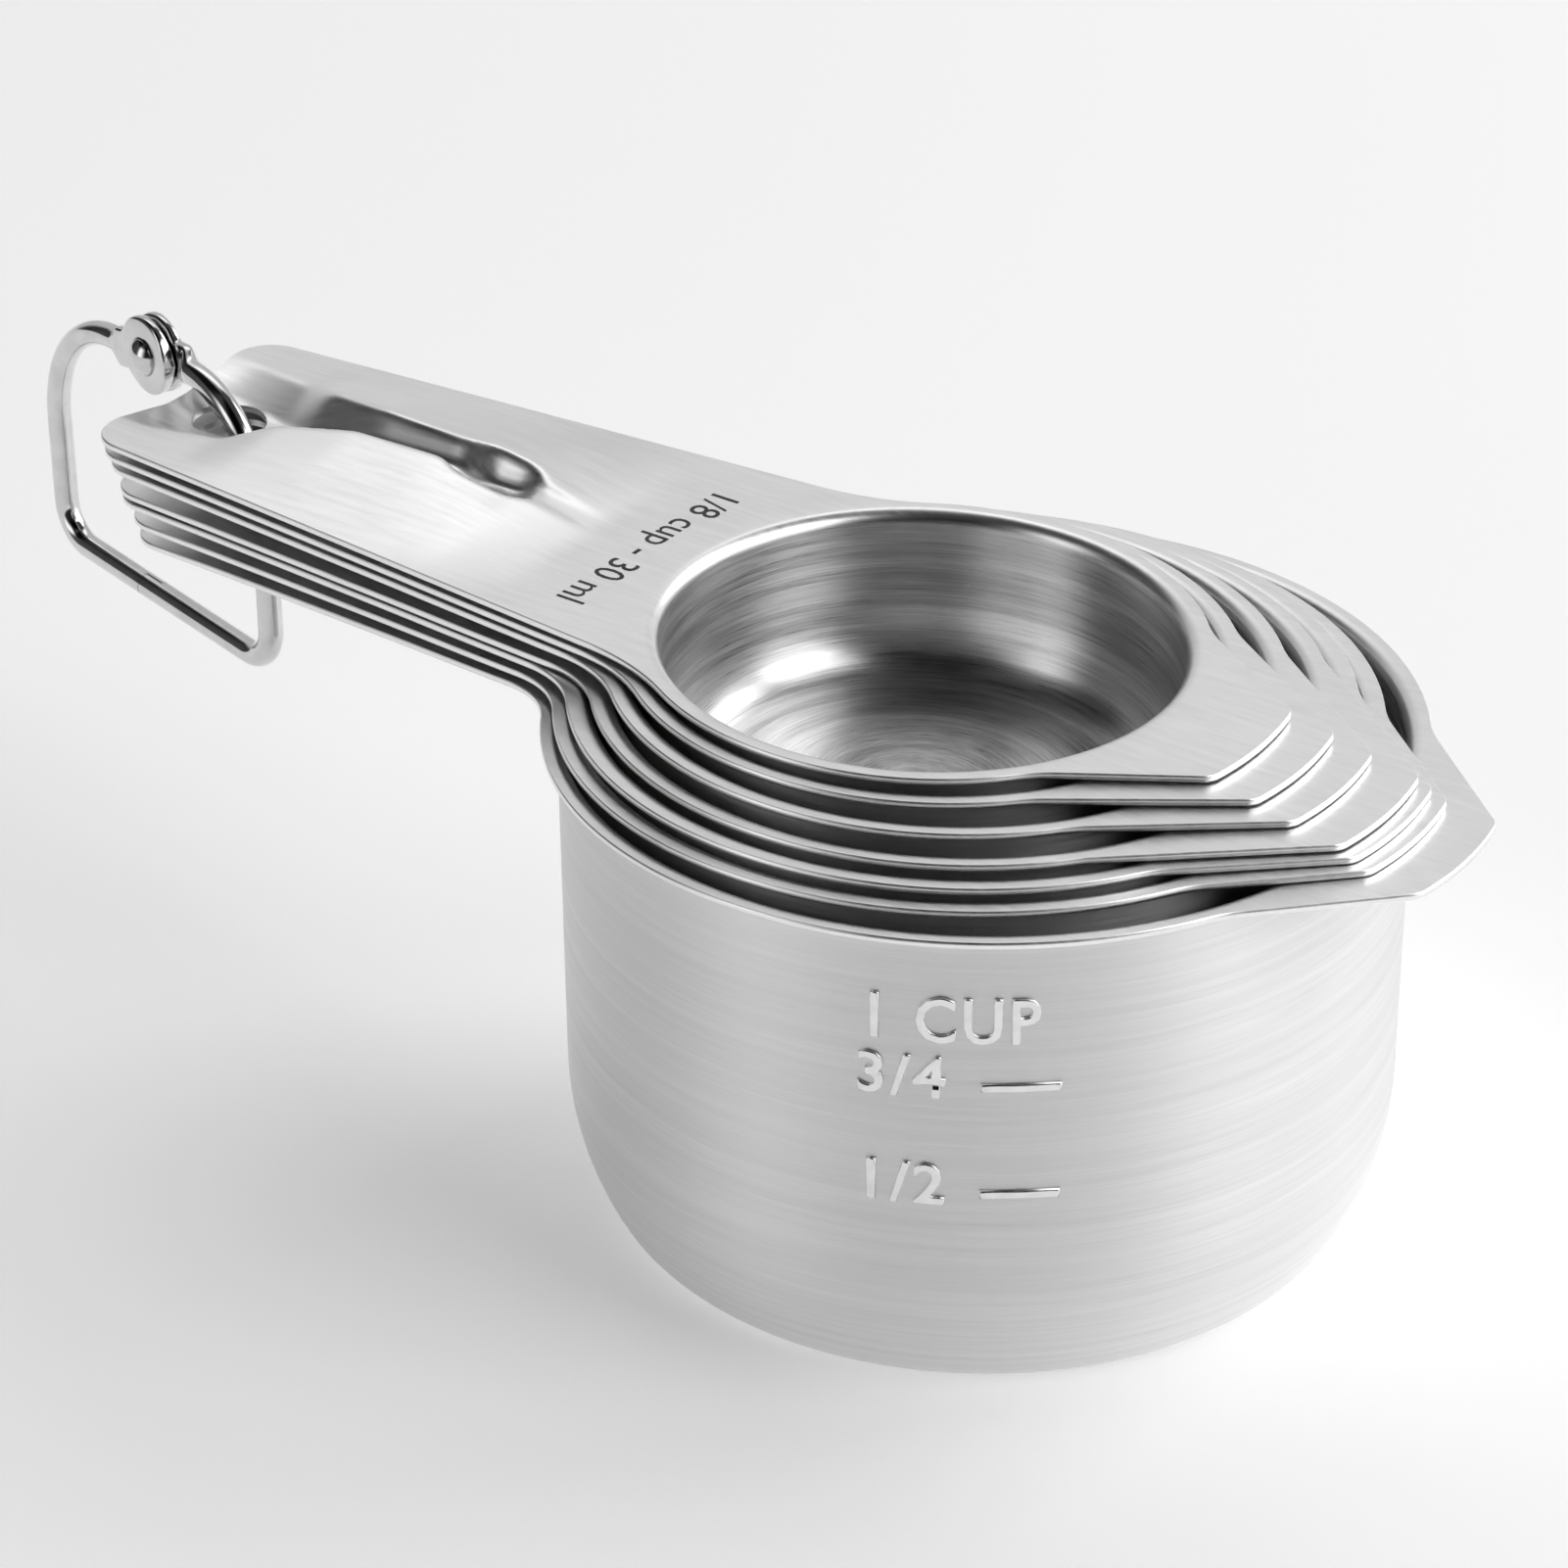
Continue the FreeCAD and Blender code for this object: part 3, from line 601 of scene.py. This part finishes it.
class Nodes:
    """Short calls for building one node tree."""

    def __init__(self, owner):
        self.owner = owner
        owner.use_nodes = True
        self.tree = owner.node_tree
        self.tree.nodes.clear()

    def add(self, kind, values=None, **settings):
        node = self.tree.nodes.new(kind)
        for key, value in settings.items():
            setattr(node, key, value)
        for key, value in (values or {}).items():
            if isinstance(value, bpy.types.NodeSocket):
                self.tree.links.new(value, node.inputs[key])
            else:
                node.inputs[key].default_value = value
        return node

    def maths(self, operation, a, b=0.0, c=0.0):
        return self.add("ShaderNodeMath", {0: a, 1: b, 2: c}, operation=operation).outputs[0]

    def vector(self, operation, a, b=(0, 0, 0)):
        node = self.add("ShaderNodeVectorMath", {0: a, 1: b}, operation=operation)
        return node.outputs["Value" if operation in ("LENGTH", "DOT_PRODUCT") else "Vector"]

    def noise(self, vector, scale, detail=2.0, rough=0.5):
        return self.add("ShaderNodeTexNoise", {"Vector": vector, "Scale": scale, "Detail": detail,
                                               "Roughness": rough}).outputs["Fac"]

    def ranged(self, value, low, high, to_low, to_high):
        return self.add("ShaderNodeMapRange", {"Value": value, "From Min": low, "From Max": high,
                                               "To Min": to_low, "To Max": to_high}).outputs["Result"]

    def smooth(self, value, low, high, to_low, to_high):
        return self.add("ShaderNodeMapRange", {"Value": value, "From Min": low, "From Max": high,
                                               "To Min": to_low, "To Max": to_high},
                        interpolation_type="SMOOTHSTEP").outputs["Result"]

    def finish(self, shader):
        world = isinstance(self.owner, bpy.types.World)
        output = self.add("ShaderNodeOutputWorld" if world else "ShaderNodeOutputMaterial")
        self.tree.links.new(shader, output.inputs["Surface"])
        return self.owner


def steel_for(cup):
    """Satin steel: brushed round the bowl inside and out, finely scuffed on the flat pressing, with
    painted shade on the outside of the wall.
    """
    n = Nodes(bpy.data.materials.new(f"cup_steel_{cup.name}"))
    spot = n.add("ShaderNodeTexCoord").outputs["Object"]
    up = cup.place.to_3x3() @ Vector((0, 0, 1))
    centre = (cup.place @ Vector((cup.bowl_x, 0, 0))) * MM
    local = n.vector("SUBTRACT", spot, tuple(centre))
    height = n.vector("DOT_PRODUCT", local, tuple(up))
    axial = n.add("ShaderNodeVectorMath", {0: tuple(up), "Scale": height}, operation="SCALE").outputs[0]
    radial = n.vector("SUBTRACT", local, axial)
    radius = n.vector("LENGTH", radial)
    out = n.vector("NORMALIZE", radial)
    round_way = n.vector("CROSS_PRODUCT", tuple(up), out)
    tangent = n.add("ShaderNodeVectorTransform", {"Vector": round_way}, vector_type="VECTOR",
                    convert_from="OBJECT", convert_to="WORLD").outputs[0]

    # 1 in the bowl, 0 on the flat top
    below = n.ranged(height, -0.0001, -0.0009, 0.0, 1.0)
    near = n.ranged(radius, (cup.mouth + 0.3) * MM, (cup.mouth - 0.1) * MM, 0.0, 1.0)
    bowl = n.maths("MULTIPLY", below, near)

    # 1 on the outside of the wall, 0 inside the bowl; it carries the outer wall's painted shade and its
    # rougher finish
    facing = n.add("ShaderNodeTexCoord").outputs["Normal"]
    outside = n.ranged(n.vector("DOT_PRODUCT", facing, out), 0.1, 0.4, 0.0, 1.0)

    # streaks round the bowl: fast along the section, slow along the turn
    run = n.maths("ADD", radius, height)
    fast = n.maths("MULTIPLY", run, 1.0 / MM)
    slow = n.add("ShaderNodeVectorMath", {0: out, "Scale": 0.55}, operation="SCALE").outputs[0]
    slow_parts = n.add("ShaderNodeSeparateXYZ", {0: slow})
    streak_at = n.add("ShaderNodeCombineXYZ", {"X": fast, "Y": slow_parts.outputs["X"],
                                               "Z": slow_parts.outputs["Y"]}).outputs[0]
    fine = n.noise(streak_at, 5.5, 3.0, 0.7)
    broad = n.noise(streak_at, 0.9, 3.0, 0.6)

    # scuffs on the flat faces: two crossing directions of short fine lines
    parts = n.add("ShaderNodeSeparateXYZ", {0: spot})
    px, py = parts.outputs["X"], parts.outputs["Y"]
    scuff_at = n.add("ShaderNodeCombineXYZ", {
        "X": n.maths("MULTIPLY", px, 120.0),
        "Y": n.maths("MULTIPLY", py, 1500.0),
        "Z": n.maths("MULTIPLY", height, 400.0),
    }).outputs[0]
    scuff = n.noise(scuff_at, 1.0, 3.0, 0.65)
    cloud = n.noise(spot, 45.0, 2.0, 0.5)

    grain = n.add("ShaderNodeMix", {0: bowl, 2: scuff, 3: fine}, data_type="FLOAT").outputs[0]
    tone_flat = n.ranged(n.maths("ADD", n.maths("MULTIPLY", scuff, 0.6), n.maths("MULTIPLY", cloud, 0.4)),
                         0.35, 0.65, 0.88, 0.96)
    tone_bowl = n.ranged(n.maths("ADD", n.maths("MULTIPLY", fine, 0.55), n.maths("MULTIPLY", broad, 0.45)),
                         0.36, 0.64, 0.48, 0.92)
    # painted shade: outside the wall the streaked tone is pulled three quarters of the way to a flat 0.80,
    # duller than the flat top, to set how bright the wall looks
    tone_bowl = n.add("ShaderNodeMix", {0: n.maths("MULTIPLY", outside, 0.75), 2: tone_bowl, 3: 0.80},
                      data_type="FLOAT").outputs[0]
    tone = n.add("ShaderNodeMix", {0: bowl, 2: tone_flat, 3: tone_bowl}, data_type="FLOAT").outputs[0]
    colour = n.add("ShaderNodeCombineColor", {"Red": tone, "Green": tone, "Blue": tone}).outputs[0]
    rough_flat = n.ranged(scuff, 0.3, 0.7, 0.30, 0.40)
    rough_bowl = n.ranged(fine, 0.3, 0.7, 0.26, 0.38)
    rough_bowl = n.maths("ADD", rough_bowl, n.maths("MULTIPLY", outside, 0.12))
    rough = n.add("ShaderNodeMix", {0: bowl, 2: rough_flat, 3: rough_bowl}, data_type="FLOAT").outputs[0]
    bump = n.add("ShaderNodeBump", {"Height": grain, "Strength": 0.12, "Distance": 0.00006}).outputs[0]
    aniso = n.maths("MULTIPLY", bowl, 0.75)
    shader = n.add("ShaderNodeBsdfPrincipled", {
        "Base Color": colour, "Metallic": 1.0, "Roughness": rough, "Normal": bump,
        "Anisotropic": aniso, "Anisotropic Rotation": 0.25, "Tangent": tangent,
    }).outputs[0]
    return n.finish(shader)


def ring_chrome():
    """Polished wire with faint drawing lines."""
    n = Nodes(bpy.data.materials.new("ring_chrome"))
    spot = n.add("ShaderNodeTexCoord").outputs["Object"]
    haze = n.noise(spot, 260.0, 3.0, 0.6)
    rough = n.ranged(haze, 0.3, 0.7, 0.10, 0.17)
    tone = n.ranged(haze, 0.3, 0.7, 0.62, 0.74)
    colour = n.add("ShaderNodeCombineColor", {"Red": tone, "Green": tone, "Blue": tone}).outputs[0]
    bump = n.add("ShaderNodeBump", {"Height": haze, "Strength": 0.08, "Distance": 0.00005}).outputs[0]
    shader = n.add("ShaderNodeBsdfPrincipled", {
        "Base Color": colour, "Metallic": 1.0, "Roughness": rough, "Normal": bump,
    }).outputs[0]
    return n.finish(shader)


def marked_steel():
    """Bright steel of the stamped fill marks."""
    n = Nodes(bpy.data.materials.new("marked_steel"))
    spot = n.add("ShaderNodeTexCoord").outputs["Object"]
    wear = n.noise(spot, 700.0, 2.0, 0.5)
    tone = n.ranged(wear, 0.3, 0.7, 0.74, 0.84)
    colour = n.add("ShaderNodeCombineColor", {"Red": tone, "Green": tone, "Blue": tone}).outputs[0]
    rough = n.ranged(wear, 0.3, 0.7, 0.16, 0.26)
    shader = n.add("ShaderNodeBsdfPrincipled", {
        "Base Color": colour, "Metallic": 1.0, "Roughness": rough,
    }).outputs[0]
    return n.finish(shader)


def etched_black():
    """Dark oxide of etched lettering, a little uneven."""
    n = Nodes(bpy.data.materials.new("etched_black"))
    spot = n.add("ShaderNodeTexCoord").outputs["Object"]
    wear = n.noise(spot, 900.0, 2.0, 0.5)
    tone = n.ranged(wear, 0.35, 0.7, 0.012, 0.05)
    colour = n.add("ShaderNodeCombineColor", {"Red": tone, "Green": tone, "Blue": tone}).outputs[0]
    shader = n.add("ShaderNodeBsdfPrincipled", {"Base Color": colour, "Roughness": 0.6}).outputs[0]
    return n.finish(shader)


def floor_paint():
    """Pale studio floor, lit a little from below so that it stays near white."""
    n = Nodes(bpy.data.materials.new("floor_paint"))
    spot = n.add("ShaderNodeTexCoord").outputs["Object"]
    cloud = n.noise(spot, 3.0, 2.0, 0.5)
    tone = n.ranged(cloud, 0.3, 0.7, 0.94, 0.96)
    colour = n.add("ShaderNodeCombineColor", {"Red": tone, "Green": tone, "Blue": tone}).outputs[0]
    shader = n.add("ShaderNodeBsdfPrincipled", {
        "Base Color": colour, "Roughness": 0.85, "Emission Color": (1, 1, 1, 1), "Emission Strength": 0.30,
    }).outputs[0]
    return n.finish(shader)


# ---------------------------------------------------------------- the set

cups = {name: Cup(name) for name in CUPS}
black = etched_black()
chrome = ring_chrome()
for cup in cups.values():
    make_cup(cup, steel_for(cup))
    handle_mark(cup, black)
mark_steel = marked_steel()
wall_mark("wall_mark_cup", "1 CUP", CUP_MARK_ALONG, CUP_MARK_LEVEL, CUP_MARK_HEIGHT, cups["one"],
          mark_steel, CUP_MARK_WIDTH)
for fraction, level in FRACTION_LEVELS.items():
    label = fraction.replace("/", "_")
    wall_mark(f"wall_mark_{label}", fraction, FRACTION_ALONG, level, FRACTION_HEIGHT, cups["one"],
              mark_steel)
    wall_mark(f"wall_line_{label}", "-", DASH_ALONG, level - DASH_DROP, FRACTION_HEIGHT, cups["one"],
              mark_steel, DASH_WIDTH)

make_ring_half("ring_body", "ring", 1, 1, chrome)
make_ring_half("ring_gate", "gate", -1, -1, chrome)

ear_face = EAR_GAP + EAR_THICK
head_base = -ear_face - HEAD_GAP
tail_base = ear_face + WASHER_THICK
head = dome(HEAD_RADIUS, HEAD_HIGH, head_base, -1)[::-1]
tail = dome(TAIL_RADIUS, TAIL_HIGH, tail_base, 1)
shank = [(SHANK, head_base), (SHANK, tail_base)]
make_turned("hinge_rivet_turned", "hinge_rivet", head + shank + tail, chrome)
washer_rim = WASHER_RADIUS - WASHER_ROUND
washer = [
    (SHANK, ear_face),
    (washer_rim, ear_face),
    (WASHER_RADIUS, ear_face + WASHER_ROUND),
    (WASHER_RADIUS, tail_base - WASHER_ROUND),
    (washer_rim, tail_base),
    (SHANK, tail_base),
]
make_turned("rivet_washer_turned", "rivet_washer", washer, chrome)

# ---------------------------------------------------------------- camera, floor and light

AZIMUTH = math.radians(33.89)
ELEVATION = math.radians(29.06)
ROLL = math.radians(-0.56)
CAMERA_REACH = 500.0
AIM = Vector((-25.4, 2.6, 36.85))

right = Vector((1, 0, 0))
up = Vector((0, math.sin(ELEVATION), math.cos(ELEVATION)))
back = Vector((0, -math.cos(ELEVATION), math.sin(ELEVATION)))
swing = Matrix.Rotation(AZIMUTH, 3, "Z")
rolled_right = swing @ (right * math.cos(ROLL) + up * math.sin(ROLL))
rolled_up = swing @ (up * math.cos(ROLL) - right * math.sin(ROLL))
back = swing @ back
camera_data = bpy.data.cameras.new("camera")
camera_data.sensor_width = 36.0
camera_data.lens = 112.4
camera_data.clip_end = 20.0
camera = bpy.data.objects.new("camera", camera_data)
bpy.context.scene.collection.objects.link(camera)
turned = Matrix((rolled_right, rolled_up, back)).transposed().to_4x4()
camera.matrix_world = Matrix.Translation((AIM + back * CAMERA_REACH) * MM) @ turned
bpy.context.scene.camera = camera

floor_mesh = bpy.data.meshes.new("floor")
floor_mesh.from_pydata([(-4, -4, 0), (4, -4, 0), (4, 4, 0), (-4, 4, 0)], [], [(0, 1, 2, 3)])
floor_mesh.materials.append(floor_paint())
floor = bpy.data.objects.new("floor", floor_mesh)
bpy.context.scene.collection.objects.link(floor)
floor.location.z = -0.00005


def soft_light(name, azimuth, elevation, distance, width, power):
    """A large square lamp, aimed at the set. Azimuth 0 is the -Y side and turns towards +X."""
    data = bpy.data.lights.new(name, "AREA")
    data.shape = "SQUARE"
    data.size = width
    data.energy = power
    lamp = bpy.data.objects.new(name, data)
    bpy.context.scene.collection.objects.link(lamp)
    a, e = math.radians(azimuth), math.radians(elevation)
    way = Vector((math.sin(a) * math.cos(e), -math.cos(a) * math.cos(e), math.sin(e)))
    lamp.location = AIM * MM + way * distance
    lamp.rotation_euler = way.to_track_quat("Z", "Y").to_euler()


soft_light("back_soft", 150, 30, 1.6, 1.0, 8)
soft_light("right_soft", 95, 38, 1.6, 1.0, 7)

# The room, by direction: bright low down at both sides, softer and higher on the far side, dim
# behind the camera and dim overhead, with a dark flag to the left of the camera.
NEAR_GLOW = 0.02
SIDE_GLOW = 1.9
FAR_GLOW = 0.72
HIGH_FAR_GLOW = 2.0
FLAG = 0.05
CEILING = 0.04
# Where each part gives way to the next. "Away" runs from -1 behind the camera to 1 on the far side,
# and heights run from 0 at the horizon to 1 overhead.
NEAR_FADE = (-0.85, -0.5)          # away, from behind the camera to the sides
FAR_FADE = (0.1, 0.7)              # away, from the sides to the far side
HIGH_FADE = (0.58, 0.82)           # height at which the far side brightens
CEILING_RISE = (0.66, 0.95)        # away, where the ceiling's edge rises
CEILING_EDGE = (0.48, 0.82)        # height of that edge, near and far
CEILING_FADE = 0.18
FLAG_WAY = (-0.94, -0.342, 0.0)
FLAG_FADE = (0.77, 0.93)           # closeness to the flag's middle
world = bpy.data.worlds.new("studio")
bpy.context.scene.world = world
room = Nodes(world)
sky_way = room.add("ShaderNodeTexCoord").outputs["Generated"]
level_way = room.vector("NORMALIZE", room.vector("MULTIPLY", sky_way, (1.0, 1.0, 0.0)))
away = room.vector("DOT_PRODUCT", level_way, (-math.sin(AZIMUTH), math.cos(AZIMUTH), 0.0))
height = room.vector("DOT_PRODUCT", sky_way, (0.0, 0.0, 1.0))
sides = room.smooth(away, *NEAR_FADE, NEAR_GLOW, SIDE_GLOW)
far_part = room.smooth(away, *FAR_FADE, 0.0, 1.0)
far_level = room.smooth(height, *HIGH_FADE, FAR_GLOW, HIGH_FAR_GLOW)
round_room = room.add("ShaderNodeMix", {0: far_part, 2: sides, 3: far_level}, data_type="FLOAT").outputs[0]
edge = room.smooth(away, *CEILING_RISE, *CEILING_EDGE)
overhead = room.smooth(height, edge, room.maths("ADD", edge, CEILING_FADE), 1.0, CEILING)
near_flag = room.vector("DOT_PRODUCT", level_way, FLAG_WAY)
flag = room.smooth(near_flag, *FLAG_FADE, 1.0, FLAG)
glow = room.maths("MULTIPLY", room.maths("MULTIPLY", round_room, overhead), flag)
room.finish(room.add("ShaderNodeBackground", {"Strength": glow}).outputs[0])
bpy.context.scene.view_settings.view_transform = "Standard"
